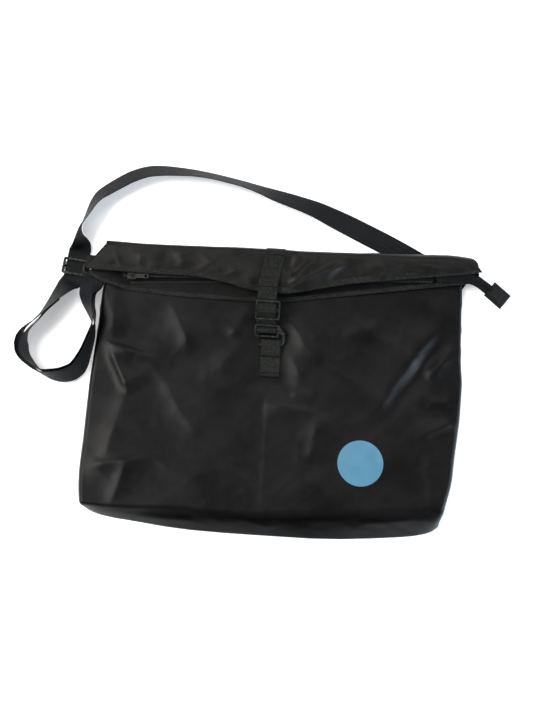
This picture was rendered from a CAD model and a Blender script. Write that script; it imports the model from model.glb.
"""The looks of the portfolio case: soft nylon shell, bound lips, webbing, hardware and zip.

Lengths are written in millimetres and scaled by MM, and colours are linear. The frame is the CAD's: +X runs
along the fold, +Y towards the fold, +Z up.
"""
import math

import bmesh
import bpy
from mathutils import Matrix, Vector, noise


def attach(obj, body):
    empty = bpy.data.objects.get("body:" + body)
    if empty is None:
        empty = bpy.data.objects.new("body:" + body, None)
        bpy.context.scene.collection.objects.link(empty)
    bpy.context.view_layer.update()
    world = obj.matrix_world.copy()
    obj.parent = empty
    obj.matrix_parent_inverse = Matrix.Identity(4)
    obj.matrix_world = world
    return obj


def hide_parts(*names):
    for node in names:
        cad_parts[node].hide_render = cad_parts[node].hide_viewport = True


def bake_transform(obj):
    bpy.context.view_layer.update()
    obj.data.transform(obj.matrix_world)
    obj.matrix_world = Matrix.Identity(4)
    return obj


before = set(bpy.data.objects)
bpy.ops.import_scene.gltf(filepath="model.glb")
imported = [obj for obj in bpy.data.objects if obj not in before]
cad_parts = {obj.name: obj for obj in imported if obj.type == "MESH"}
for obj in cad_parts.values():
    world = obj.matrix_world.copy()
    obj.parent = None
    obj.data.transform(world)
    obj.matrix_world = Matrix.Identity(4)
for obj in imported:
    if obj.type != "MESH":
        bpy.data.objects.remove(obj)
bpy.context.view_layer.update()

MM = 0.001


# ---------------------------------------------------------------- numbers shared by the pieces
# the bag's outline: x of its two sides at y, and y of its bottom at x
LEFT_SIDE = [
    (-172, -229), (-160, -231), (-148, -233), (-125, -234.6), (-110, -234.4), (-86, -233.4),
    (-47, -233), (-9, -232.3), (5, -231.3), (25, -230), (45, -228.8), (60, -227.2),
    (107, -226), (128, -224), (170, -221.5),
]
RIGHT_SIDE = [
    (-172, 224.5), (-160, 229.5), (-147, 232), (-134, 235.3), (-120, 239.3), (-108, 241.5),
    (-83, 243.7), (-57, 246.6), (-31, 249.5), (8, 251.2), (21, 251.3), (34, 249.6),
    (60, 248.4), (113, 247.8), (170, 247),
]
BOTTOM = [
    (-234, -160), (-229, -167), (-224, -171.5), (-214, -176.3), (-204, -179.2), (-185, -182.2),
    (-166, -184), (-146, -186.3), (-127, -188.5), (-108, -190.1), (-88, -191.4), (-50, -192.5),
    (-12, -192.9), (64, -193.1), (103, -191.6), (140, -188.6), (179, -184.6), (198, -181.8),
    (210, -178.9), (217, -176.6), (224, -172), (229, -164), (232, -158),
]

# the folded top: y of the fold, its middle's height and half its thickness, y of the two lips at x, and how
# far the fold stands out at x
FOLD_Y, FOLD_MIDDLE, FOLD_RADIUS = 168.0, 13.1, 12.3
OUTER_LIP = [
    (-247, 137), (-243, 135.5), (-169, 134.5), (-98, 134), (-60, 128), (-31, 120.5),
    (0, 118.5), (20, 119), (55, 127), (98, 137), (188, 150), (240, 157.5),
    (268, 161.5),
]
INNER_LIP = [
    (-245, 131), (-226, 121.5), (-188, 112.5), (-122, 109), (-60, 108.2), (-31, 108),
    (15, 110.5), (60, 117.5), (125, 128), (190, 138.5), (246, 147.5), (262, 150),
]
FOLD_OUT = [
    (-222, 6.5), (-195, 5.2), (-166, 5), (-90, 7.5), (-20, 8.8), (20, 8.2),
    (90, 10), (161, 12.4), (200, 14.6), (240, 14.8), (256, 12),
]

# the closure: its webbing, its height on the flap, its bend and the slope below it, and the hook's axis
WEBBING = 25.0
CLOSURE_X = -7.0
STRAP_Z, BEND_Y = 28.15, 118.0
SLOPE = math.radians(11.8)
HOOK_Y, HOOK_Z, HOOK_SLOPE = 78.2, 19.9, math.radians(15.7)
CLOSURE_LEAN = [
    (84, CLOSURE_X - 1.0), (118, CLOSURE_X - 1.6), (134, CLOSURE_X - 0.2),
    (166, CLOSURE_X + 5.0), (178, CLOSURE_X + 6.6),
]

# the shoulder strap, and its route as (x, y, z, roll in degrees) from the sewn end to the ring
STRAP_W, STRAP_T = 28.0, 1.3
MAIN_RUN = [
    (228, 152.5, 1.0, 0), (211, 162.5, 1.0, 0), (192, 172.5, 1.0, 0), (174, 182, 1.0, 0),
    (155, 191.5, 1.0, 0), (136, 200.5, 1.0, 0), (114.5, 210, 1.5, 2), (93, 219.5, 2.4, 6),
    (71.5, 228.2, 4.4, 14), (51, 236.3, 6.6, 23.5), (31, 242.4, 8.3, 31.5), (11, 247.8, 9.2, 36),
    (-9, 253, 10.5, 43), (-28, 258.5, 12, 52), (-49, 264.2, 12.6, 56.5), (-71, 268.8, 12.7, 57),
    (-92, 272.6, 12.7, 57), (-114, 275.2, 12.3, 54), (-135, 276.2, 11.5, 49), (-156, 276.3, 10.8, 44.5),
    (-177, 274, 10.1, 41), (-198, 265.8, 9.8, 39), (-215.5, 254.8, 9.9, 40), (-228.5, 245.6, 10.3, 42),
    (-237.5, 238, 10.9, 46), (-244, 228.4, 12.1, 53.5), (-248.4, 218.7, 13, 60),
    (-252, 209.8, 13.6, 65), (-255.4, 202, 14, 70), (-258, 194.5, 14.6, 78), (-258.6, 187, 14.9, 90),
    (-258.2, 179.5, 14.3, 107), (-257.8, 172, 11.7, 130), (-258.4, 165, 6.6, 156),
    (-260, 158.5, 3.6, 174), (-261.1, 151, 3.3, 180), (-262.2, 140, 3.3, 180),
    (-264.1, 127, 3.3, 180.5), (-267.6, 119.5, 4.6, 187), (-273.2, 112, 10.8, 209),
    (-283.8, 97.3, 14.6, 230.5), (-294.5, 82.3, 15.4, 244), (-301.4, 73, 15.5, 250),
    (-309.5, 64, 15.5, 253.5), (-319.5, 54.5, 15.4, 260), (-325, 44.5, 15, 269),
    (-325.6, 34.2, 14.8, 279), (-323.5, 24.7, 14.6, 284), (-319.3, 17, 14.6, 284),
    (-313, 10, 14.7, 281), (-302, 0.8, 14.9, 273), (-291, -4.6, 15.2, 266), (-280, -6.8, 15.5, 254.5),
    (-266.8, -6.5, 15.3, 244.5), (-255.4, -3, 15.1, 239), (-248, 2, 15.1, 240), (-242.6, 10, 15.2, 243),
    (-236.4, 27, 15.4, 256), (-231.8, 46, 15.2, 264), (-229.9, 58, 15, 272), (-229.5, 67, 14.7, 281),
    (-230.8, 75, 14.4, 287), (-234.6, 84.5, 13.8, 294), (-237.8, 94.5, 12.8, 306),
    (-239.3, 102.5, 11.4, 320), (-239.2, 109, 10.2, 334), (-238.3, 115, 9.6, 347.5),
    (-237.3, 121, 9.6, 359), (-236.4, 129.5, 9.7, 360),
]
# the return run starts at this point of MAIN_RUN and keeps this far from it, more at twists, at the ring and
# where the two runs part
LOOP_START = 40
RETURN_START, RETURN_OFFSET, TWIST_OFFSET, RING_OFFSET, PARTING = 1.6, 3.2, 1.6, 1.7, 4.6
PARTING_X, PARTING_Y, PARTING_REACH = -290, 40.0, 16
RING_X, RING_Y, RING_REACH = -255, 90, 12

# the two rows of teeth, each from (x, y) to (x, y)
ZIP_OUTER = (-196.0, 129.2, 205.0, 145.4)
ZIP_INNER = (-187.0, 122.2, 205.0, 148.4)
ZIP_OUTER_Z = 19.7
# one tooth's corners about its middle, and its faces
TOOTH = [
    (-0.55, -1.5, -0.6), (0.55, -1.5, -0.6), (0.7, 1.2, -0.7), (-0.7, 1.2, -0.7),
    (-0.4, -1.4, 0.6), (0.4, -1.4, 0.6), (0.55, 1.1, 0.7), (-0.55, 1.1, 0.7),
]
TOOTH_FACES = [(3, 2, 1, 0), (4, 5, 6, 7), (0, 1, 5, 4), (1, 2, 6, 5), (2, 3, 7, 6), (3, 0, 4, 7)]
# the bunched end of the zip: its route, and its folds as (shift across, lift, tilt in degrees, width)
TAIL_ROUTE = [
    (209, 152, 20.6), (222, 155, 20.6), (239, 156, 20.2),
    (257.5, 152.5, 19.1), (270, 147, 16.8), (281, 140.5, 14.4),
]
TAIL_FOLDS = [(-4.2, 0.2, 24, 9.5), (0.2, 0.9, -14, 9.5), (4.6, 0.1, 18, 8.5)]
# the tab sewn to that end: its middle, and how it is turned about Z and tipped about Y
TAB_AT, TAB_TURN, TAB_TIP = Vector((291.8, 134.4, 12.5)), math.radians(-37), math.radians(7)

# folds of the front: (height, x0, y0, x1, y1, reach at the left, reach at the right)
FRONT_RIDGES = [
    # the standing crease down the middle, and the two short folds that start from it
    (0.55, 0, -6, 1, -150, 12, 4), (2.2, 3, -26, 62, -35, 7, 16), (2.8, 67, -38, 58, -92, 16, 10),
    (1.6, 30, -8, 58, -16, 8, 12),
    # pulls that fan out from the closure
    (2.3, 24, 84, 60, 36, 8, 10), (2.4, -34, 96, -52, 60, 11, 10), (1.1, 16, 50, 42, 12, 7, 9),
    (1.4, -22, 74, -70, 10, 14, 12),
    # left side: a long facet with a sharp inner edge, and a star of small creases
    (4.2, -206, 30, -180, -18, 18, 6), (3.2, -180, -18, -202, -110, 24, 12),
    (3.2, -214, 42, -158, 26, 5, 9), (3.4, -208, 116, -206, 50, 11, 18),
    (2.4, -218, -118, -150, -104, 7, 13), (1.8, -172, -108, -186, -160, 12, 9),
    (2.4, -132, 100, -104, 40, 15, 10), (1.5, -120, -30, -84, -70, 8, 13),
    (1.2, -118, -28, -160, 30, 10, 12),
    # right side: the long slanted pocket under the flap's end, and creases from the right edge
    (3.6, 140, -24, 186, 44, 30, 14), (3.0, 178, 36, 214, 84, 26, 12), (1.5, 196, -14, 226, 40, 12, 22),
    (2.4, 236, 60, 206, 22, 8, 12), (2.6, 238, -36, 196, -56, 7, 14), (2.0, 236, -10, 205, -14, 8, 10),
    (1.8, 96, 70, 140, 84, 14, 12), (1.6, 205, -84, 214, -146, 12, 9),
    (1.2, 60, -116, 92, -150, 14, 12),
]
# its hollows and bellies: (height, x, y, reach along, reach across, turn in degrees)
FRONT_BUMPS = [
    (-2.0, -8, 70, 26, 34, 0), (-2.2, -150, -50, 44, 60, 20), (-3.2, 190, 22, 13, 62, -33),
    (-1.0, 165, 2, 9, 20, -33), (3.2, 70, 10, 90, 70, 0), (2.6, -90, -90, 110, 60, 0),
    (2.2, 140, -90, 80, 60, 0),
]
# folds of the bottom gusset and of the flap's outer layer, in the same form
FOOT_RIDGES = [
    (2.0, -150, -178, -80, -180, 4, 5), (2.2, 130, -168, 200, -160, 5, 6),
    (1.6, -40, -168, 10, -182, 5, 5), (1.5, 205, -154, 222, -172, 4, 4),
]
FLAP_RIDGES = [
    (3.4, 22, 133, 52, 168, 4, 8), (4.2, 26, 126, 88, 160, 5, 7), (1.8, 20, 150, 30, 172, 5, 6),
    (2.4, -128, 172, -118, 146, 7, 10), (1.7, -100, 168, -70, 140, 8, 10),
    (2.0, -60, 150, -26, 128, 7, 8), (1.5, -190, 160, -150, 152, 8, 9), (2.0, 118, 166, 150, 152, 7, 9),
    (1.8, 176, 172, 214, 160, 8, 8), (1.4, 225, 176, 250, 166, 6, 6),
]
FLAP_BUMPS = [
    (-2.2, 18, 160, 9, 18, 0), (-1.4, 100, 150, 20, 12, 0),
]
# how much the folds are raised over these heights
FRONT_DEPTH, FLAP_DEPTH = 1.3, 1.2

# the badge's middle and radius
BADGE_X, BADGE_Y, BADGE_RADIUS = 121.5, -95.0, 29.0

# the camera: where it is, how it is tipped and rolled, and its lens
CAMERA_AT = Vector((-0.00506, -0.13423, 1.24342))
CAMERA_TILT, CAMERA_ROLL = math.radians(8), math.radians(3.5)
LENS, SENSOR = 48.81, 36.0
# soft square lamps, all aimed at the middle: name, place, side, watts, colour
LAMPS = [
    ("window_left", (-1.45, 0.3, 1.55), 0.9, 52, (1.0, 0.98, 0.95)),
    ("window_right", (1.9, -0.5, 0.75), 0.8, 48, (0.72, 0.86, 1.0)),
    ("behind", (0.3, 1.65, 1.8), 1.2, 20, (1.0, 1.0, 1.0)),
]
# the floor lies just below the object and glows a little, which lightens the shadows as in the photo
FLOOR_SIZE, FLOOR_Z, FLOOR_GREY, FLOOR_GLOW = 6.0, -0.0006, 0.9, 0.32


# ---------------------------------------------------------------- small maths
def lerp(a, b, t):
    return a + (b - a) * t


def clamp(t, low=0.0, high=1.0):
    return min(max(t, low), high)


def smooth(t):
    t = clamp(t)
    return t * t * (3 - 2 * t)


def along(points, x):
    """The y of an outline at x, on straight lines between its points."""
    if x <= points[0][0]:
        return points[0][1]
    for (x0, y0), (x1, y1) in zip(points, points[1:]):
        if x <= x1:
            return lerp(y0, y1, (x - x0) / (x1 - x0))
    return points[-1][1]


def eased(points, x, reach=7.0):
    """along(), with its corners rounded off."""
    return (along(points, x - reach) + 2 * along(points, x) + along(points, x + reach)) / 4


def smin(a, b, k):
    """The smaller of a and b, with a soft change between them."""
    h = clamp(0.5 + 0.5 * (b - a) / k)
    return lerp(b, a, h) - k * h * (1 - h)


def bump(x, y, cx, cy, rx, ry, turn=0.0):
    """A round hump of height 1 at (cx, cy)."""
    c, s = math.cos(math.radians(turn)), math.sin(math.radians(turn))
    dx, dy = x - cx, y - cy
    a, b = (dx * c + dy * s) / rx, (-dx * s + dy * c) / ry
    return math.exp(-(a * a + b * b))


def ridge(x, y, x0, y0, x1, y1, left, right):
    """A fold of height 1 along a segment, falling off over left and right millimetres at its two sides."""
    ex, ey = x1 - x0, y1 - y0
    size = math.hypot(ex, ey)
    t = ((x - x0) * ex + (y - y0) * ey) / (size * size)
    d = ((x - x0) * ey - (y - y0) * ex) / size
    w = left if d < 0 else right
    ends = smooth((t + 0.18) / 0.4) * smooth((1.18 - t) / 0.4)
    return ends * math.exp(-abs(d / w) ** 1.5)


def folds(x, y, ridges, bumps=()):
    """The height at (x, y) of tables of ridges and bumps, each row with its height first."""
    z = sum(height * ridge(x, y, *line) for height, *line in ridges)
    return z + sum(height * bump(x, y, *shape) for height, *shape in bumps)


def wave(x, y, scale, seed):
    """Smooth noise from -1 to 1."""
    return noise.noise(Vector((x / scale, y / scale, seed)))


def crumple(x, y, scale, seed):
    """Noise with sharp ridges, like creases in coated cloth, from 0 to 1."""
    return 1 - min(1.0, 2.2 * abs(noise.noise(Vector((x / scale, y / scale, seed)))))


# ---------------------------------------------------------------- materials
def new_material(name):
    """A material, the Nodes that builds it, and its Principled shader."""
    made = bpy.data.materials.new(name)
    made.use_nodes = True
    return made, Nodes(made.node_tree), made.node_tree.nodes["Principled BSDF"]


class Nodes:
    """A short way to add and link shader nodes."""

    def __init__(self, tree):
        self.tree = tree

    def fill(self, node, **inputs):
        """Sets or links a node's inputs, with _ for a space in a name, or i and a number."""
        for key, value in inputs.items():
            by_number = key[0] == "i" and key[1:].isdigit()
            socket = node.inputs[int(key[1:]) if by_number else key.replace("_", " ")]
            if isinstance(value, bpy.types.NodeSocket):
                self.tree.links.new(value, socket)
            else:
                socket.default_value = value
        return node

    def add(self, kind, settings=None, **inputs):
        node = self.tree.nodes.new(kind)
        for key, value in (settings or {}).items():
            setattr(node, key, value)
        return self.fill(node, **inputs)

    def place(self):
        return self.add("ShaderNodeTexCoord").outputs["Object"]

    def math(self, operation, a, b=0.0):
        return self.add("ShaderNodeMath", {"operation": operation}, i0=a, i1=b).outputs[0]

    def noise(self, vector, scale, detail, rough):
        node = self.add("ShaderNodeTexNoise", None, Vector=vector, Scale=scale, Detail=detail)
        return self.fill(node, Roughness=rough).outputs[0]

    def ramp(self, value, low=0.0, high=1.0, out_low=0.0, out_high=1.0):
        node = self.add("ShaderNodeMapRange", None, Value=value, i1=low, i2=high, i3=out_low, i4=out_high)
        return node.outputs[0]

    def mix(self, factor, a, b):
        a, b = (c if isinstance(c, bpy.types.NodeSocket) else (*c, 1.0) for c in (a, b))
        return self.add("ShaderNodeMix", {"data_type": "RGBA"}, i0=factor, i6=a, i7=b).outputs[2]

    def bump(self, height, strength, distance, normal=None):
        extra = {} if normal is None else {"Normal": normal}
        node = self.add("ShaderNodeBump", None, Height=height, Strength=strength, Distance=distance, **extra)
        return node.outputs[0]


def fabric_material(name, dark, light, rough, shaded_bottom=False):
    """Coated nylon: a satin, near-black cloth with a fine grain, small puckers and slightly uneven gloss."""
    made, n, shader = new_material(name)
    place = n.place()
    tone = n.noise(place, 22.0, 4.0, 0.6)
    grain = n.noise(place, 900.0, 2.0, 0.6)
    speckle = n.noise(place, 420.0, 2.0, 0.75)
    shade = n.math("ADD", n.ramp(tone, 0.35, 0.68), n.ramp(speckle, 0.35, 0.65, -0.3, 0.3))
    colour = n.mix(n.ramp(shade), dark, light)
    shine = n.ramp(tone, 0.3, 0.7, 0.11, 0.15)
    if shaded_bottom:
        # the bottom gusset's cloth is rougher and duller, least so at its right end
        where = n.add("ShaderNodeSeparateXYZ", None, Vector=place)
        crease = n.ramp(where.outputs[0], -0.02, 0.23, -0.168, -0.153)
        below = n.ramp(n.math("SUBTRACT", crease, where.outputs[1]), -0.003, 0.005, 0.0, 1.0)
        share = n.math("MULTIPLY", below, n.ramp(where.outputs[0], 0.06, 0.2, 1.0, 0.15))
        colour = n.mix(share, colour, (0.0006, 0.0006, 0.0007))
        shine = n.math("MULTIPLY", shine, n.ramp(share, 0.0, 1.0, 1.0, 0.25))
    gloss = n.ramp(tone, 0.3, 0.7, rough - 0.04, rough + 0.05)
    gloss = n.math("ADD", gloss, n.ramp(grain, 0.3, 0.7, -0.05, 0.05))
    turned = n.add("ShaderNodeMapping", None, Vector=place)
    turned.inputs["Rotation"].default_value = (0.0, 0.0, math.radians(3))
    parts = n.add("ShaderNodeSeparateXYZ", None, Vector=turned.outputs[0])
    threads = 2 * math.pi / (0.6 * MM)
    warp = n.math("SINE", n.math("MULTIPLY", parts.outputs[0], threads))
    weft = n.math("SINE", n.math("MULTIPLY", parts.outputs[1], threads))
    weave = n.math("MULTIPLY", warp, weft)
    puckers = n.noise(place, 130.0, 3.0, 0.55)
    soft = n.bump(puckers, 0.2, 0.0006)
    fine = n.bump(weave, 0.25, 0.00008, soft)
    specks = n.bump(grain, 0.35, 0.0001, fine)
    n.fill(shader, Base_Color=colour, Specular_IOR_Level=shine, Roughness=gloss, Normal=specks,
           Sheen_Weight=0.004, Sheen_Roughness=0.45, Sheen_Tint=(0.8, 0.85, 1.0, 1.0))
    return made


def webbing_material(
    name, dark, light, rib=1.25, column=1.7, rough=0.62, sheen=0.25, strength=0.9, speck=1.0,
):
    """Woven webbing, read along its own length (UV x) and width (UV y), both in metres.

    rib and column are the weave's pitches in millimetres, strength is its relief and speck its uneven tone.
    """
    made, n, shader = new_material(name)
    uv = n.add("ShaderNodeUVMap", {"uv_map": "run"}).outputs[0]
    parts = n.add("ShaderNodeSeparateXYZ", None, Vector=uv)
    u, v = parts.outputs[0], parts.outputs[1]
    lean = n.math("PINGPONG", v, 2 * column * MM)
    leaning = n.math("ADD", u, n.math("MULTIPLY", lean, 0.8))
    ribs = n.math("SINE", n.math("MULTIPLY", leaning, 2 * math.pi / (rib * MM)))
    columns = n.math("SINE", n.math("MULTIPLY", v, 2 * math.pi / (column * MM)))
    columns = n.math("MULTIPLY", n.math("ABSOLUTE", columns), 0.5)
    weave = n.math("ADD", n.math("MULTIPLY", ribs, 0.6), columns)
    place = n.place()
    fuzz = n.noise(place, 1400.0, 2.0, 0.7)
    worn = n.noise(place, 35.0, 3.0, 0.6)
    share = n.math("ADD", n.ramp(weave, -0.5, 1.0, 0.0, 0.6), n.ramp(fuzz, 0.3, 0.7, -0.15, 0.35))
    share = n.math("ADD", share, n.ramp(worn, 0.4, 0.7, -0.1, 0.2))
    mottle = n.noise(place, 520.0, 2.0, 0.8)
    share = n.math("ADD", share, n.ramp(mottle, 0.38, 0.64, -0.4 * speck, 0.55 * speck))
    n.fill(shader, Base_Color=n.mix(n.ramp(share), dark, light),
           Roughness=n.ramp(fuzz, 0.2, 0.8, rough - 0.08, rough + 0.1),
           Normal=n.bump(fuzz, 0.3, 0.00012, n.bump(weave, strength, 0.00022)),
           Specular_IOR_Level=0.12, Sheen_Weight=sheen * 0.03, Sheen_Roughness=0.4)
    return made


def plastic_material(name, dark, light, rough):
    """Coated or moulded hardware, with fine texture and its edges rubbed lighter."""
    made, n, shader = new_material(name)
    place = n.place()
    grain = n.noise(place, 700.0, 3.0, 0.6)
    scuffs = n.noise(place, 160.0, 4.0, 0.7)
    edge = n.add("ShaderNodeNewGeometry").outputs["Pointiness"]
    rubbed = n.math("MULTIPLY", n.ramp(edge, 0.53, 0.61), n.ramp(scuffs, 0.35, 0.6, 0.35, 1.0))
    n.fill(shader, Base_Color=n.mix(rubbed, dark, light), Specular_IOR_Level=0.3,
           Roughness=n.ramp(scuffs, 0.3, 0.7, rough - 0.06, rough + 0.1),
           Normal=n.bump(grain, 0.25, 0.00006))
    return made


def metal_material(name, colour, rough):
    """Plated zip metal, with brushed marks and tarnish."""
    made, n, shader = new_material(name)
    place = n.place()
    marks = n.noise(place, 500.0, 4.0, 0.7)
    stain = n.noise(place, 220.0, 3.0, 0.6)
    dull = tuple(c * 0.6 for c in colour)
    n.fill(shader, Base_Color=n.mix(n.ramp(stain, 0.4, 0.65), colour, dull), Metallic=1.0,
           Roughness=n.ramp(marks, 0.3, 0.7, rough - 0.08, rough + 0.12),
           Normal=n.bump(marks, 0.2, 0.00004))
    return made


def print_material(name):
    """The badge: a plain blue print with a slightly speckled ink."""
    made, n, shader = new_material(name)
    place = n.place()
    specks = n.noise(place, 420.0, 3.0, 0.6)
    tone = n.noise(place, 60.0, 2.0, 0.5)
    blue = n.mix(n.ramp(tone, 0.3, 0.7), (0.059, 0.184, 0.274), (0.069, 0.205, 0.297))
    n.fill(shader, Base_Color=n.mix(n.ramp(specks, 0.62, 0.8, 0.0, 0.5), blue, (0.13, 0.28, 0.38)),
           Roughness=n.ramp(specks, 0.3, 0.7, 0.42, 0.58),
           Normal=n.bump(n.noise(place, 900.0, 2.0, 0.6), 0.3, 0.00008))
    return made


NYLON = fabric_material(
    "satin_nylon", (0.0034, 0.0031, 0.0032), (0.0058, 0.0052, 0.0052),
    0.38, shaded_bottom=True,
)
FLAP_NYLON = fabric_material("flap_nylon", (0.0056, 0.0053, 0.0048), (0.0098, 0.0092, 0.0082), 0.42)
LINING = fabric_material("dark_lining", (0.0012, 0.0012, 0.0012), (0.0034, 0.0033, 0.0036), 0.46)
WEB = webbing_material("black_webbing_look", (0.0028, 0.003, 0.0025), (0.0215, 0.0227, 0.0188))
BINDING = webbing_material(
    "hem_tape", (0.0022, 0.0024, 0.002), (0.026, 0.0262, 0.0215),
    1.9, 1.5, 0.7, 0.4, 1.0,
)
STRAP = webbing_material(
    "shoulder_webbing", (0.0024, 0.0028, 0.0033), (0.0076, 0.0088, 0.0102),
    1.1, 1.5, 0.5, 0.3, 0.7, 0.35,
)
TAPE = webbing_material(
    "zip_tape_look", (0.002, 0.002, 0.002), (0.007, 0.007, 0.007),
    0.9, 1.0, 0.75, 0.15, 0.8,
)
THREAD = webbing_material(
    "stitch_thread", (0.0005, 0.0005, 0.0005), (0.0014, 0.0014, 0.0014),
    0.6, 0.5, 0.8, 0.0, 0.6, 0.0,
)
HARDWARE = plastic_material("coated_hardware", (0.0013, 0.0013, 0.0014), (0.075, 0.075, 0.07), 0.25)
TEETH = plastic_material("zip_teeth_look", (0.005, 0.005, 0.005), (0.02, 0.02, 0.02), 0.42)
SILVER = metal_material("zip_pull_plate", (0.045, 0.045, 0.042), 0.42)
PRINT = print_material("badge_print")


# ---------------------------------------------------------------- making pieces
def piece(name, points, faces, material, body, uvs):
    """A mesh object from points in millimetres, on a body if one is given. uvs are in metres, one a point."""
    mesh = bpy.data.meshes.new(name)
    mesh.from_pydata([Vector(p) * MM for p in points], [], faces)
    mesh.validate()
    layer = mesh.uv_layers.new(name="run")
    for loop in mesh.loops:
        layer.data[loop.index].uv = uvs[loop.vertex_index]
    obj = bpy.data.objects.new(name, mesh)
    bpy.context.scene.collection.objects.link(obj)
    mesh.materials.append(material)
    mesh.shade_smooth()
    if body:
        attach(obj, body)
    return obj


def surface(name, place, columns, rows, material, thickness, body=None):
    """A sheet: place(u, v) gives each point. columns and rows are counts, or lists of shares."""
    us = columns if isinstance(columns, list) else [k / columns for k in range(columns + 1)]
    vs = rows if isinstance(rows, list) else [k / rows for k in range(rows + 1)]
    points, uvs = [], []
    for v in vs:
        for u in us:
            p = place(u, v)
            points.append(p)
            uvs.append((p[0] * MM, p[1] * MM))
    wide = len(us)
    faces = [
        (r * wide + c, r * wide + c + 1, (r + 1) * wide + c + 1, (r + 1) * wide + c)
        for r in range(len(vs) - 1) for c in range(wide - 1)
    ]
    obj = piece(name, points, faces, material, None, uvs)
    shell = obj.modifiers.new("thickness", "SOLIDIFY")
    shell.thickness = thickness * MM
    shell.offset = -1.0
    shell.use_even_offset = False
    apply(obj)
    if body:
        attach(obj, body)
    return obj


def apply(obj):
    """Turns an object's modifiers into its mesh."""
    bpy.context.view_layer.update()
    evaluated = obj.evaluated_get(bpy.context.evaluated_depsgraph_get())
    mesh = bpy.data.meshes.new_from_object(evaluated)
    old = obj.data
    obj.modifiers.clear()
    obj.data = mesh
    bpy.data.meshes.remove(old)
    mesh.name = obj.name
    mesh.shade_smooth()


def outward(obj):
    """Turns an object's faces to point out of it."""
    fix = bmesh.new()
    fix.from_mesh(obj.data)
    bmesh.ops.recalc_face_normals(fix, faces=fix.faces)
    fix.to_mesh(obj.data)
    fix.free()


def tube_faces(rows, size):
    """The faces of a closed tube: rows of size points each, and its two ends."""
    faces = []
    for n in range(rows - 1):
        for k in range(size):
            a, b = n * size + k, n * size + (k + 1) % size
            faces.append((a, b, b + size, a + size))
    faces.append(tuple(reversed(range(size))))
    last = (rows - 1) * size
    faces.append(tuple(last + k for k in range(size)))
    return faces


def band(name, centres, sides, normals, width, thickness, material, body, across=6):
    """Webbing: a flat band swept along centres. sides point across it and normals out of its face."""
    half, points, uvs = width / 2, [], []
    stations = [-1 + 2 * k / across for k in range(across + 1)]
    # (across, up) round the band's section, as shares of half its width and thickness: its edges are thinner
    ring = [(s, 1.0 if abs(s) < 1 else 0.45) for s in stations]
    ring += [(s, -t) for s, t in reversed(ring)]
    run = 0.0
    for n, centre in enumerate(centres):
        if n:
            run += (Vector(centre) - Vector(centres[n - 1])).length
        for s, t in ring:
            p = Vector(centre) + Vector(sides[n]) * (s * half) + Vector(normals[n]) * (t * thickness / 2)
            points.append(p)
            uvs.append((run * MM, (s * half + half) * MM))
    obj = piece(name, points, tube_faces(len(centres), len(ring)), material, None, uvs)
    outward(obj)
    obj.data.set_sharp_from_angle(angle=math.radians(50))
    if body:
        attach(obj, body)
    return obj


def spline(points, steps):
    """Points along a smooth curve (Catmull-Rom) through the given ones."""
    padded = [tuple(2 * a - b for a, b in zip(points[0], points[1]))] + list(points)
    padded.append(tuple(2 * a - b for a, b in zip(points[-1], points[-2])))
    out = []
    for n in range(1, len(padded) - 2):
        rows = padded[n - 1:n + 3]
        for step in range(steps):
            t = step / steps
            out.append(tuple(
                0.5 * (2 * q + (r - p) * t + (2 * p - 5 * q + 4 * r - s) * t ** 2
                       + (3 * q - p - 3 * r + s) * t ** 3)
                for p, q, r, s in zip(*rows)
            ))
    out.append(tuple(float(value) for value in points[-1]))
    return out


def flat_band(name, path, width, thickness, body, x=0.0, matrix=None):
    """Webbing bent in the YZ plane along a path of (y, z), with its width along X.

    x is its middle, or a function that gives its middle at y. matrix moves the finished band.
    """
    route = spline([(float(y), float(z)) for y, z in path], 4)
    centres, sides, normals = [], [], []
    for n, (y, z) in enumerate(route):
        y0, z0 = route[max(n - 1, 0)]
        y1, z1 = route[min(n + 1, len(route) - 1)]
        run = Vector((0, y1 - y0, z1 - z0)).normalized()
        cx = x(y) if callable(x) else x
        centres.append(Vector((cx, y, z)))
        sides.append(Vector((1, 0, 0)))
        normals.append(run.cross(Vector((1, 0, 0))))
    if matrix is not None:
        centres = [matrix @ c for c in centres]
        turn = matrix.to_3x3()
        sides = [turn @ s for s in sides]
        normals = [turn @ s for s in normals]
    return band(name, centres, sides, normals, width, thickness, WEB, body)


def stitches(name, spots, directions, length, radius, body):
    """Short thread stitches: each a small half-sunk capsule at a spot, along its direction."""
    points, faces, uvs = [], [], []
    up = Vector((0, 0, 1))
    for spot, run in zip(spots, directions):
        spot, run = Vector(spot), Vector(run).normalized()
        side = run.cross(up).normalized()
        base = len(points)
        for along_at, size in ((-0.5, 0.35), (-0.3, 1.0), (0.3, 1.0), (0.5, 0.35)):
            for k in range(6):
                a = math.pi * k / 3
                around = (side * math.cos(a) + up * math.sin(a)) * radius * size
                points.append(spot + run * along_at * length + around)
                uvs.append((along_at * length * MM, 0.0))
        for ring in range(3):
            for k in range(6):
                a, b = base + ring * 6 + k, base + ring * 6 + (k + 1) % 6
                faces.append((a, b, b + 6, a + 6))
        faces.append(tuple(base + k for k in reversed(range(6))))
        faces.append(tuple(base + 18 + k for k in range(6)))
    return piece(name, points, faces, THREAD, body, uvs)


def stitch_line(name, route, pitch, body, length=None, radius=0.28):
    """Stitches along a route of points."""
    spots, directions = [], []
    route = [Vector(p) for p in route]
    left = 0.0
    for a, b in zip(route, route[1:]):
        size = (b - a).length
        t = left
        while t < size:
            spots.append(a.lerp(b, t / size))
            directions.append(b - a)
            t += pitch
        left = t - size
    return stitches(name, spots, directions, length or pitch * 0.72, radius, body)


# ---------------------------------------------------------------- the bag's shape
def bag_left(y):
    """The x of the bag's left side at y."""
    return eased(LEFT_SIDE, y)


def bag_right(y):
    """The x of the bag's right side at y."""
    return eased(RIGHT_SIDE, y)


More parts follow.
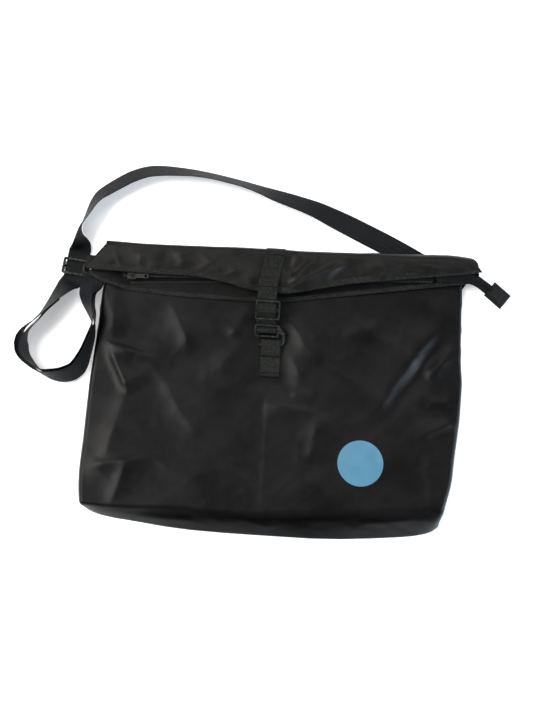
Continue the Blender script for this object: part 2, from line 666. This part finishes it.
def bottom_y(x):
    """The bag's bottom edge: a long flat arc with tight corners."""
    return eased(BOTTOM, x, 4.0)


def crease_y(x):
    """The soft bottom edge of the front."""
    u = clamp((x + 231) / 460)
    return lerp(-166, -150, smooth((u - 0.45) / 0.55)) + 1.2 * math.sin(x / 23.0) * smooth((x + 230) / 60)


def base_z(y):
    """The front's smooth height at y, which grows towards the bottom gusset."""
    share = clamp((60.0 - y) / 225.0)
    return 8.9 + 26.3 * share ** 1.6


def front_folds(x, y):
    """The front's folds and dents, in millimetres over its smooth shape."""
    away_from_flap = smooth((118 - y) / 60)
    z = folds(x, y, FRONT_RIDGES, FRONT_BUMPS)
    # small, random puckers and creases
    z += 1.6 * wave(x, y, 84, 3.1) + 0.4 * wave(x, y, 36, 9.7) + 0.1 * wave(x, y, 15, 4.2)
    z += 0.6 * crumple(x + 0.35 * y, y, 88, 17.3) ** 3 + 0.2 * crumple(x - 0.5 * y, y, 44, 23.9) ** 3
    return FRONT_DEPTH * z * (0.35 + 0.65 * away_from_flap)


def front_height(x, y):
    """The outside of the front, its sides and its bottom, as one soft height."""
    beside_chain = 1 - smooth((abs(x) - 13) / 30)
    clear = 1 - beside_chain * smooth((y + 22) / 26) * smooth((92 - y) / 26)
    top = base_z(y) + front_folds(x, y) * smooth((y + 186) / 26) * clear
    low, crease = bottom_y(x), crease_y(x)
    down = (y - low) / max(crease - low, 4.0)
    edge = base_z(crease)
    wrinkle = 1.3 * wave(x, y, 34, 51.0) + 0.8 * wave(x, 2.2 * y, 19, 57.0)
    wrinkle += folds(x, y, FOOT_RIDGES)
    foot = 1.0 + (edge - 1.0) * down + (4.0 + wrinkle) * math.sin(math.pi * clamp(down))
    z = smin(top, foot, 4.2)
    # the sides roll over to the back panel
    for gap, size in ((x - bag_left(y), 7.5), (bag_right(y) - x, 8.5)):
        size = min(size, 3.0 + z * 0.35)
        t = clamp(gap / size)
        z = 0.9 + (z - 0.9) * math.sqrt(max(0.0, 1 - (1 - t) ** 2.3))
    return max(z, 0.9)


def edge_shares(fine, count, dense):
    """Shares from 0 to 1 with extra stations near both ends."""
    start = [fine * (k / dense) ** 1.6 for k in range(dense)]
    middle = [lerp(fine, 1 - fine, k / count) for k in range(count + 1)]
    end = [1 - s for s in reversed(start)]
    return start + middle + end


def side_draw(u, y):
    """How far the cloth of a side is drawn in or out there."""
    side = (1 - smooth(u / 0.03)) - (1 - smooth((1 - u) / 0.03))
    return side * (1.1 * wave(0, y, 27, 5.5) + 0.6 * wave(0, y, 11, 8.5))


def bag_front():
    """The front, both sides and the bottom of the bag in one soft shell."""
    us = edge_shares(0.022, 190, 9)
    vs = [0.004 * k for k in range(12)] + [lerp(0.048, 1.0, k / 150) for k in range(151)]

    def place(u, v):
        y = lerp(-170, FOLD_Y + 2, v)
        x = lerp(bag_left(y), bag_right(y), u)
        low = bottom_y(x)
        y = lerp(low, FOLD_Y + 2, v)
        x = lerp(bag_left(y), bag_right(y), u)
        x += side_draw(u, y)
        return x, y, front_height(x, y)

    shell = surface("bag_front_shell", place, us, vs, NYLON, 0.7, "bag")
    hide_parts("front_panel", "side_gusset_left", "side_gusset_right", "bottom_gusset")


def strap_lift(x, y):
    """How far the strap under the back panel lifts it at (x, y)."""
    start, end = Vector((252.0, 137.4)), Vector((165.0, 191.9))
    run = (end - start).normalized()
    away = Vector((x, y)) - start
    beside = abs(away.x * run.y - away.y * run.x)
    before = -away.dot(run)
    return 3.0 * smooth((30 - beside) / 12) * smooth((16 - before) / 10)


def bag_back():
    """The back panel, a shell just over the floor."""
    def place(u, v):
        y = lerp(-170, FOLD_Y + 1, v)
        x = lerp(bag_left(y), bag_right(y), u)
        y = lerp(bottom_y(x), FOLD_Y + 1, v)
        x = lerp(bag_left(y) + 0.3, bag_right(y) - 0.3, u) + side_draw(u, y)
        rest = 0.75 + 0.16 * wave(x, y, 40, 77.0)
        return x, y, rest + strap_lift(x, y)

    back = surface("bag_back_shell", place, 60, 110, NYLON, 0.5, "bag")
    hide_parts("back_panel")


# ---------------------------------------------------------------- the folded top
def flap_left(t):
    """The flap's left edge from the fold (t = 0) to its lip (t = 1)."""
    return lerp(-222, -246.5, t ** 1.1)


def flap_right(t):
    """The flap's right edge from the fold to its lip."""
    return lerp(263, 268.5, t)


def outer_fold(x, y):
    """The wrinkles of the flap's outer layer."""
    z = 1.1 * wave(x, y, 42, 31.0) + 0.7 * wave(x, 1.5 * y, 17, 37.0)
    z += folds(x, y, FLAP_RIDGES, FLAP_BUMPS)
    z += 0.8 * crumple(x, y, 34, 91.0) ** 3
    # the closure's webbing holds the cloth flat
    held = 1 - smooth((abs(x - closure_centre(y)) - 12) / 9)
    return FLAP_DEPTH * z * (1 - 0.85 * held)


def fold_curve(t, out):
    """Round the fold from the back (t = 0) to the flap (t = 1), as (y, z)."""
    a = -math.pi / 2 + math.pi * t
    reach = out * math.cos(a) ** 0.8 if math.cos(a) > 0 else 0.0
    return FOLD_Y + reach, FOLD_MIDDLE + FOLD_RADIUS * math.sin(a)


def outer_shell():
    """The back panel's cloth, round the fold and down the flap's outer layer to its lip."""
    turn = 0.36

    def place(u, v):
        if v < turn:
            t = v / turn
            right = lerp(247, 254, smooth(2 * t)) + 9 * smooth(2 * t - 1)
            x = lerp(lerp(-221, -222, t), right, u)
            y, z = fold_curve(t, eased(FOLD_OUT, x, 14) + 0.9 * wave(x, t * 20, 30, 44.0))
            z += 0.5 * outer_fold(x, FOLD_Y) * smooth((t - 0.6) / 0.4)
            if t < 0.5:
                z += strap_lift(x, FOLD_Y) * (1 - t / 0.5)
            return x, y, z
        t = (v - turn) / (1 - turn)
        x = lerp(flap_left(t), flap_right(t), u)
        lip = eased(OUTER_LIP, x)
        y = lerp(FOLD_Y, lip, t)
        end = smooth(u / 0.05) * smooth((1 - u) / 0.04)
        wrinkled = (0.5 + 0.5 * smooth(t * 3)) * outer_fold(x, y) * (1 - 0.6 * smooth((t - 0.7) / 0.3)) * end
        z = 25.4 + wrinkled - t ** 3
        z += 1.2 * (1 - smooth(u / 0.12))
        return x, y, max(z, 23.9)

    shell = surface("flap_outer_shell", place, 170, 56, FLAP_NYLON, 0.8)
    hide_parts("flap_outer_layer")
    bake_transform(shell)


def lip_lift(x):
    """How far the inner lip is raised to the outer one at the left end, as a share."""
    return smooth((-188.0 - x) / 33.0)


def inner_mid(x, y):
    """The inner layer's middle, which the CAD has too."""
    share = clamp((y - 109.0) / (FOLD_Y - 109.0))
    return lerp(9.9, 17.9, share ** 2) + 8.5 * lip_lift(x) * (1 - share)


def inner_shell():
    """The flap's inner layer, from inside the fold down to the inner lip."""
    def place(u, v):
        x = lerp(lerp(-221, -244, v), lerp(246, 261, v), u)
        y = lerp(FOLD_Y + 0.5, eased(INNER_LIP, x), v)
        z = inner_mid(x, y) + 0.55 + 0.35 * wave(x, y, 30, 63.0) * smooth((1 - v) * 4)
        return x, y, z

    shell = surface("flap_inner_shell", place, 120, 14, LINING, 0.7, "flap")
    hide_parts("flap_inner_layer")

    def wrap(u, v):
        x = lerp(-221, 246, u)
        a = -math.pi / 2 + math.pi * v
        y = FOLD_Y + 0.5 + 3.6 * math.cos(a) + 0.5 * wave(x, v * 10, 20, 64.0)
        z = lerp(front_height(clamp(x, -216, 240), FOLD_Y), 18.45, (1 + math.sin(a)) / 2)
        return x, y, z

    inside = surface("fold_inner_wrap", wrap, 90, 10, LINING, 0.6)
    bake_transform(inside)


def end_gussets():
    """The folded-in ends that join the flap's two layers."""
    def left(u, v):
        x = lerp(-221.5, -245.0, v)
        top_y = lerp(FOLD_Y, eased(OUTER_LIP, -245), v)
        low_y = lerp(FOLD_Y, 131.5, v)
        y = lerp(low_y, top_y, u)
        tuck = 5.0 * math.sin(math.pi * u) * (1 - 0.6 * v)
        z = lerp(inner_mid(-235, y) + 0.6, 25.0, u)
        return x - 2.4 * math.sin(math.pi * u) * v + tuck * 0.5 - 1.0, y, z

    made = surface("flap_end_left", left, 12, 16, NYLON, 0.7, "flap")
    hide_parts("flap_gusset_left")

    def right(u, v):
        x = lerp(249.5, 263.5, v)
        y = lerp(FOLD_Y - 0.5, lerp(155, 161.5, u), v)
        z = lerp(inner_mid(250, y) + 0.5, 24.8, u)
        return x + 2.0 * math.sin(math.pi * u), y, z

    made = surface("flap_end_right", right, 10, 12, NYLON, 0.7, "flap")
    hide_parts("flap_gusset_right")


def hem(name, lip, width, height, node, x1):
    """The woven binding folded over a lip's edge as far as x1, and its row of stitches."""
    count = 150
    stations = [lerp(-243.5, x1, k / count) for k in range(count + 1)]
    points, uvs = [], []
    # round the binding: (millimetres in from the lip's edge, millimetres up)
    profile = [
        (-0.9, -1.6), (-1.5, -0.4), (-1.1, 0.8), (0.2, 1.25), (width * 0.5, 1.2), (width, 1.05),
        (width + 0.25, 0.2), (width * 0.5, 0.25), (0.6, 0.3), (0.3, -0.6),
    ]
    run = 0.0
    rows = []
    for x in stations:
        y = eased(lip, x)
        y0, y1 = eased(lip, x - 2), eased(lip, x + 2)
        tangent = Vector((4, y1 - y0, 0)).normalized()
        inward = Vector((-tangent.y, tangent.x, 0))
        if rows:
            run += (Vector((x, y, 0)) - rows[-1][0]).length
        rows.append((Vector((x, y, 0)), inward))
        for out, up in profile:
            p = Vector((x, y, 0)) + inward * out
            z = height(p.x, max(p.y, y)) + up + 0.18 * wave(x, out, 9, 70.0)
            points.append((p.x, p.y, z))
            uvs.append((run * MM, out * MM))
    obj = piece(name, points, tube_faces(len(rows), len(profile)), BINDING, "flap", uvs)
    outward(obj)
    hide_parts(node)
    route = [(p + inward * (width - 0.9)) for p, inward in rows]
    route = [(q.x, q.y, height(q.x, q.y) + 1.3) for q in route]
    threads = stitch_line(f"{name}_stitches_0", route, 3.0, "flap")


def outer_height(x, y):
    """The outer layer's height at its lip, the same at every y."""
    return 24.6 + 1.2 * (1 - smooth((x + 246.5) / 60))


# ---------------------------------------------------------------- zip
def zip_y(line, x):
    """The y of a row of teeth at x."""
    return lerp(line[1], line[3], (x - line[0]) / (line[2] - line[0]))


def zip_side(name, line, height):
    """One side of the zip: moulded teeth, one by one, on the edge of a woven tape."""
    pitch = 2.0
    x, points, faces, uvs = line[0], [], [], []
    while x < line[2]:
        y, z = zip_y(line, x), height(x, zip_y(line, x))
        base = len(points)
        for dx, dy, dz in TOOTH:
            points.append((x + dx, y + dy, z + dz))
            uvs.append((0, 0))
        for face in TOOTH_FACES:
            faces.append(tuple(base + k for k in face))
        x += pitch
    teeth = piece(f"teeth_{name}", points, faces, TEETH, "flap", uvs)
    teeth.data.shade_flat()
    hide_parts(f"zip_teeth_{name}")

    def tape(u, v):
        tx = lerp(line[0] - 3, line[2] + 2, u)
        ty = zip_y(line, tx) + lerp(0.4, 10.5, v)
        return tx, ty, height(tx, ty) + 0.3

    cloth = surface(f"tape_{name}", tape, 90, 4, TAPE, 0.6, "flap")
    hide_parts(f"zip_tape_{name}")


def zip_end():
    """The bunched end of the zip, with its sewn tab."""
    route = spline(TAIL_ROUTE, 5)
    for k, (shift, lift, tilt, width) in enumerate(TAIL_FOLDS):
        centres, sides, normals = [], [], []
        for n, p in enumerate(route):
            a, b = Vector(route[max(n - 1, 0)]), Vector(route[min(n + 1, len(route) - 1)])
            run = (b - a).normalized()
            side = run.cross(Vector((0, 0, 1))).normalized()
            up = side.cross(run)
            turn = math.radians(tilt + 10 * math.sin(n * 0.35 + k))
            narrow = 1 - 0.25 * n / len(route)
            centres.append(Vector(p) + side * shift * narrow + up * (lift + 0.25 * math.sin(n * 0.6 + k)))
            sides.append(side * math.cos(turn) + up * math.sin(turn))
            normals.append(up * math.cos(turn) - side * math.sin(turn))
        band(f"zip_tail_fold_{k}", centres, sides, normals, width, 0.9, TAPE, "flap")
    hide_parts("zip_tail")

    turn = Matrix.Translation(TAB_AT) @ Matrix.Rotation(TAB_TURN, 4, "Z") @ Matrix.Rotation(TAB_TIP, 4, "Y")
    points, faces, uvs = [], [], []
    nx, ny = 16, 12
    for level in (1, -1):
        for j in range(ny + 1):
            for i in range(nx + 1):
                u, v = 2 * i / nx - 1, 2 * j / ny - 1
                edge = max(abs(u), abs(v))
                thick = 2.5 * math.sqrt(max(0.0, 1 - edge ** 6)) * (0.75 + 0.25 * math.cos(u * 2.0))
                p = turn @ Vector((u * 14.0 + 0.3 * wave(v * 9, u, 1.3, 4), v * 11.6, level * (thick + 0.25)))
                points.append(p)
                uvs.append(((u + 1) * 13.2 * MM, (v + 1) * 11.0 * MM))
    layer = (nx + 1) * (ny + 1)
    for j in range(ny):
        for i in range(nx):
            a = j * (nx + 1) + i
            faces.append((a, a + 1, a + nx + 2, a + nx + 1))
            b = a + layer
            faces.append((b, b + nx + 1, b + nx + 2, b + 1))
    rim = list(range(nx + 1)) + [(j + 1) * (nx + 1) - 1 for j in range(1, ny + 1)]
    rim += [ny * (nx + 1) + i for i in range(nx - 1, -1, -1)]
    rim += [j * (nx + 1) for j in range(ny - 1, 0, -1)]
    for a, b in zip(rim, rim[1:] + rim[:1]):
        faces.append((a, a + layer, b + layer, b))
    tab = piece("zip_tab", points, faces, WEB, "flap", uvs)
    outward(tab)
    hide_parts("zip_end_tab")
    corners = ((-10.6, -8.6), (10.8, -8.6), (10.8, 8.6), (-10.6, 8.6), (-10.6, -8.6))
    line = stitch_line("zip_tab_stitches", [turn @ Vector((x, y, 2.9)) for x, y in corners], 2.8, "flap")


# ---------------------------------------------------------------- closure
def sloping(distance, height):
    """The (y, z) of a place below the bend: distance down the slope and height over it."""
    y = BEND_Y - distance * math.cos(SLOPE) - height * math.sin(SLOPE)
    return y, STRAP_Z - distance * math.sin(SLOPE) + height * math.cos(SLOPE)


def closure_centre(y):
    """The x of the closure's middle at y. It leans to the left on its way down from the fold."""
    return along(CLOSURE_LEAN, y)


def closure():
    """The closure's webbing: the strap, its turn over the fold, its return run and the hook's loop."""
    path = [
        (171.6, 26.7), (168.5, 27.3), (163, 27.6), (152, 27.9), (140, STRAP_Z), (128, STRAP_Z + 0.1),
        (119.5, STRAP_Z - 0.1), sloping(6, 0), sloping(14, 0), sloping(24, 0), sloping(40.2, 0),
    ]
    strap = flat_band("closure_webbing", path, WEBBING, 1.2, None, closure_centre)
    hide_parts("closure_strap", "closure_strap_seam")
    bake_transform(strap)
    over = []
    for degrees in (4, 18, 32, 46, 58, 68, 76):
        a = math.radians(degrees)
        out = 9.6 * math.cos(a) ** 0.8 + 0.6 * math.cos(a)
        over.append((FOLD_Y + out, FOLD_MIDDLE + 13.5 * math.sin(a)))
    over += [(169.6, 26.6), (166.0, 26.5)]
    turn_over = flat_band("closure_fold_webbing", over, WEBBING, 1.1, None, closure_centre)
    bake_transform(turn_over)
    cx = closure_centre(167)
    seam = [(cx - 11.3, 167.4, 28.0), (cx + 11.3, 167.0, 28.0)]
    stitch_line("closure_seam_stitches", seam, 2.4, "flap", 1.9, 0.5)

    # the return run: over the glide's middle bar, up along the strap and folded back over itself as a hem
    low, top, level = 1.75, 5.95, STRAP_Z + 1.85
    lower = [
        sloping(38.6, low), sloping(32.6, low), sloping(28.4, 4.3), sloping(26.2, top), sloping(21.4, top),
        sloping(19.2, 4.3), sloping(15.0, low), sloping(9.0, low), sloping(1.5, 1.9),
        (124, level), (131.6, level), (134.0, level + 0.3), (134.6, level + 0.95), (133.8, level + 1.6),
        (131.0, level + 1.75), (124, level + 1.7), sloping(1.0, 3.6), sloping(9.4, 3.45),
    ]
    middle = CLOSURE_X - 1.6
    back = flat_band("closure_return_webbing", lower, WEBBING - 0.8, 1.15, "adjuster", middle)
    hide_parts("closure_strap_return")
    hemline = [(CLOSURE_X - 12.4, 123.6, level + 2.35), (CLOSURE_X + 9.2, 123.2, level + 2.35)]
    stitch_line("closure_hem_stitches", hemline, 2.7, "adjuster", 2.1, 0.58)

    turn = Matrix.Translation(Vector((CLOSURE_X, HOOK_Y, HOOK_Z))) @ Matrix.Rotation(HOOK_SLOPE, 4, "X")
    loop = [
        (1.3, -1.2), (-0.8, -1.7), (-5.4, -2.0), (-7.0, 0.2), (-8.6, 2.05), (-11.4, 2.05),
        (-12.9, 0.4), (-12.2, -2.0), (-10.6, -3.8), (-6.0, -3.8), (-0.8, -3.8),
    ]
    wrap = flat_band("hook_loop_webbing", loop, WEBBING - 0.6, 1.15, "hook", 0.0, turn)
    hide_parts("hook_webbing_loop")


def daisy_chain():
    """Webbing sewn up the front, folded into the eye that the hook goes through."""
    def at(y, above):
        return y, base_z(y) + 0.75 + above

    # up along the front, round the eye and back down: (y, millimetres over the front)
    route = [
        (10.6, 0.0), (18, 0.1), (28, 0.1), (38.4, 0.1), (47, 0.0), (55.2, 0.0), (57.0, 0.9), (57.8, 2.6),
        (57.0, 4.3), (55.2, 5.1), (50, 5.15), (45.5, 4.6), (40.5, 3.0), (37.0, 1.75), (30, 1.45),
        (22, 1.4), (12.4, 1.4), (10.4, 1.1), (9.9, 0.5),
    ]
    path = [at(y, above) for y, above in route]
    chain = flat_band("daisy_chain_webbing_look", path, WEBBING, 1.15, "bag")
    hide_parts("daisy_chain_webbing", "daisy_chain_eye")
    spots, runs = [], []
    for row, y in enumerate((36.9, 36.0, 35.1)):
        for k in range(19):
            spots.append((-11.4 + 1.27 * k, y, at(y, 2.15)[1]))
            runs.append((1, 0.7 * (-1) ** (k + row), 0))
    stitches("daisy_bartack", spots, runs, 1.4, 0.34, "bag")
    line = [(-11.2, 14.2, at(14.2, 2.05)[1]), (11.4, 14.4, at(14.4, 2.05)[1])]
    stitch_line("daisy_seam", line, 2.3, "bag", 1.8, 0.5)


# ---------------------------------------------------------------- shoulder strap
def strap_frames(route):
    """Centres, width directions and normals along a route of (x, y, z, roll)."""
    centres, sides, normals = [], [], []
    for n, (x, y, z, roll) in enumerate(route):
        a, b = Vector(route[max(n - 1, 0)][:3]), Vector(route[min(n + 1, len(route) - 1)][:3])
        run = (b - a).normalized()
        up = (Vector((0, 0, 1)) - run * run.z).normalized()
        side = run.cross(up)
        turn = math.radians(roll)
        centres.append(Vector((x, y, z)))
        normals.append(up * math.cos(turn) + side * math.sin(turn))
        sides.append(side * math.cos(turn) - up * math.sin(turn))
    return centres, sides, normals


def shoulder_strap():
    """The strap's main run, and the return run that lies beside it from the slider to the ring."""
    route = spline(MAIN_RUN, 4)
    main = band("shoulder_webbing_main", *strap_frames(route), STRAP_W, STRAP_T, STRAP, "bag", 8)
    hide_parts("shoulder_strap_main")

    loop = MAIN_RUN[LOOP_START:]
    loop_centres, _, loop_normals = strap_frames(loop)
    under = []
    for n, (centre, normal, p) in enumerate(zip(loop_centres, loop_normals, loop)):
        space = RETURN_OFFSET + TWIST_OFFSET * abs(math.sin(2 * math.radians(p[3])))
        space = lerp(RETURN_START, space, smooth(n / 4))
        if p[0] < PARTING_X:
            space += PARTING * math.exp(-((p[1] - PARTING_Y) / PARTING_REACH) ** 2)
        elif p[0] > RING_X:
            space += RING_OFFSET * clamp((p[1] - RING_Y) / RING_REACH)
        under.append((*(centre + normal * space), p[3]))
    back_route = spline(under, 4)
    back = band("shoulder_webbing_return", *strap_frames(back_route), STRAP_W, STRAP_T, STRAP, "bag", 8)
    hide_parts("shoulder_strap_return")

    def length(points):
        return sum((Vector(b[:3]) - Vector(a[:3])).length for a, b in zip(points, points[1:])) * MM


def ring_tab():
    """The webbing that holds the ring, sewn under the flap's left corner."""
    ring_x, ring_y, ring_z = -234.5, 140.5, 11.9
    top, low = ring_z + 2.3, ring_z - 2.1
    path = [
        (156.0, low + 0.2), (150.0, low), (ring_y + 1.2, low), (ring_y - 1.9, low + 0.5),
        (ring_y - 2.6, ring_z), (ring_y - 1.9, top - 0.5), (ring_y + 1.2, top), (148.0, top),
        (155.0, top - 0.6),
    ]
    tab = flat_band("ring_tab_webbing", path, STRAP_W - 1.0, 1.1, "bag", ring_x)
    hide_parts("ring_tab")


def strap_end():
    """The strap's sewn end under the back panel, with its box stitch."""
    heading = math.atan2(0.531, -0.847)
    turn = Matrix.Translation(Vector((238.0, 146.2, 1.3))) @ Matrix.Rotation(heading, 4, "Z")
    centres = [turn @ Vector((x, 0, 0)) for x in (-10.8, -10.2, -5, 0, 5, 10.2, 10.8)]
    spin = turn.to_3x3()
    sides = [spin @ Vector((0, 1, 0))] * 7
    normals = [spin @ Vector((0, 0, 1))] * 7
    end = band("strap_end_webbing", centres, sides, normals, STRAP_W, 1.9, WEB, "bag")
    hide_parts("strap_anchor_right")
    corners = [(-9, -11, -1.0), (9, -11, -1.0), (9, 11, -1.0), (-9, 11, -1.0), (-9, -11, -1.0), (9, 11, -1.0)]
    line = stitch_line("strap_end_stitches", [turn @ Vector(c) for c in corners], 2.6, "bag")


# ---------------------------------------------------------------- badge
def badge():
    """A plain round blue disc that follows the front, with its rim turned down a little."""
    rings, around = 14, 64
    points, faces, uvs = [], [], []
    for k in range(rings + 1):
        for a in range(around):
            t = 2 * math.pi * a / around
            x = BADGE_X + BADGE_RADIUS * k / rings * math.cos(t)
            y = BADGE_Y + BADGE_RADIUS * k / rings * math.sin(t)
            points.append((x, y, front_height(x, y) + 0.35 - (0.25 if k == rings else 0)))
            uvs.append((x * MM, y * MM))
    for k in range(rings):
        for a in range(around):
            b = (a + 1) % around
            inner, outer = k * around, (k + 1) * around
            faces.append((inner + a, outer + a, outer + b, inner + b))
    face = piece("badge_face", points, faces, PRINT, "bag", uvs)
    weld = bmesh.new()
    weld.from_mesh(face.data)
    bmesh.ops.remove_doubles(weld, verts=weld.verts, dist=0.00001)
    weld.to_mesh(face.data)
    weld.free()
    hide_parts("badge")


# ---------------------------------------------------------------- hardware that the CAD makes
def finish_hardware():
    """Gives the CAD's own pieces their looks."""
    looks = {
        "tri_glide": HARDWARE, "g_hook": HARDWARE, "strap_slider": HARDWARE, "strap_ring": HARDWARE,
        "zip_slider": SILVER, "zip_pull": SILVER,
    }
    for node, material in looks.items():
        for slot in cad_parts[node].material_slots:
            slot.material = material


# ---------------------------------------------------------------- stage, light and camera
def stage():
    """The floor, the world's even light and the lamps."""
    mesh = bpy.data.meshes.new("floor")
    size = FLOOR_SIZE
    corners = [(-size, -size, 0), (size, -size, 0), (size, size, 0), (-size, size, 0)]
    mesh.from_pydata(corners, [], [(0, 1, 2, 3)])
    floor = bpy.data.objects.new("floor", mesh)
    floor.location.z = FLOOR_Z
    bpy.context.scene.collection.objects.link(floor)
    made, n, shader = new_material("pale_floor")
    n.fill(shader, Base_Color=(FLOOR_GREY, FLOOR_GREY, FLOOR_GREY, 1), Roughness=0.9, Specular_IOR_Level=0.1,
           Emission_Color=(1.0, 1.0, 1.0, 1), Emission_Strength=FLOOR_GLOW)
    mesh.materials.append(made)

    world = bpy.data.worlds.new("studio")
    bpy.context.scene.world = world
    world.use_nodes = True
    back = world.node_tree.nodes["Background"]
    back.inputs["Color"].default_value = (0.93, 0.96, 1.0, 1)
    back.inputs["Strength"].default_value = 0.26
    bpy.context.scene.view_settings.view_transform = "Standard"

    for name, place, size, power, colour in LAMPS:
        light = bpy.data.lights.new(name, "AREA")
        light.shape = "SQUARE"
        light.size = size
        light.energy = power
        light.color = colour
        lamp = bpy.data.objects.new(name, light)
        lamp.location = place
        lamp.rotation_euler = (-Vector(place)).to_track_quat("-Z", "Y").to_euler()
        bpy.context.scene.collection.objects.link(lamp)


def camera():
    """The camera that took the photo, as near as it could be fitted."""
    forward = Vector((0, math.sin(CAMERA_TILT), -math.cos(CAMERA_TILT)))
    high = Vector((0, math.cos(CAMERA_TILT), math.sin(CAMERA_TILT)))
    right = Vector((1, 0, 0)) * math.cos(CAMERA_ROLL) + high * math.sin(CAMERA_ROLL)
    up = Vector((-1, 0, 0)) * math.sin(CAMERA_ROLL) + high * math.cos(CAMERA_ROLL)
    data = bpy.data.cameras.new("photo_view")
    data.sensor_fit = "VERTICAL"
    data.sensor_height = SENSOR
    data.lens = LENS
    eye = bpy.data.objects.new("photo_view", data)
    pose = Matrix((right, up, -forward)).transposed().to_4x4()
    pose.translation = CAMERA_AT
    eye.matrix_world = pose
    bpy.context.scene.collection.objects.link(eye)
    bpy.context.scene.camera = eye


# ---------------------------------------------------------------- everything together
camera()
stage()
shoulder_strap()
bag_front()
bag_back()
outer_shell()
inner_shell()
end_gussets()
hem("outer_binding", OUTER_LIP, 8.6, outer_height, "outer_hem_binding", 264)
hem("inner_binding", INNER_LIP, 5.4, lambda x, y: inner_mid(x, y) + 0.7, "inner_hem_binding", 258)
zip_side("outer", ZIP_OUTER, lambda x, y: ZIP_OUTER_Z)
zip_side("inner", ZIP_INNER, lambda x, y: inner_mid(x, y) + 1.75)
zip_end()
closure()
daisy_chain()
ring_tab()
strap_end()
badge()
finish_hardware()
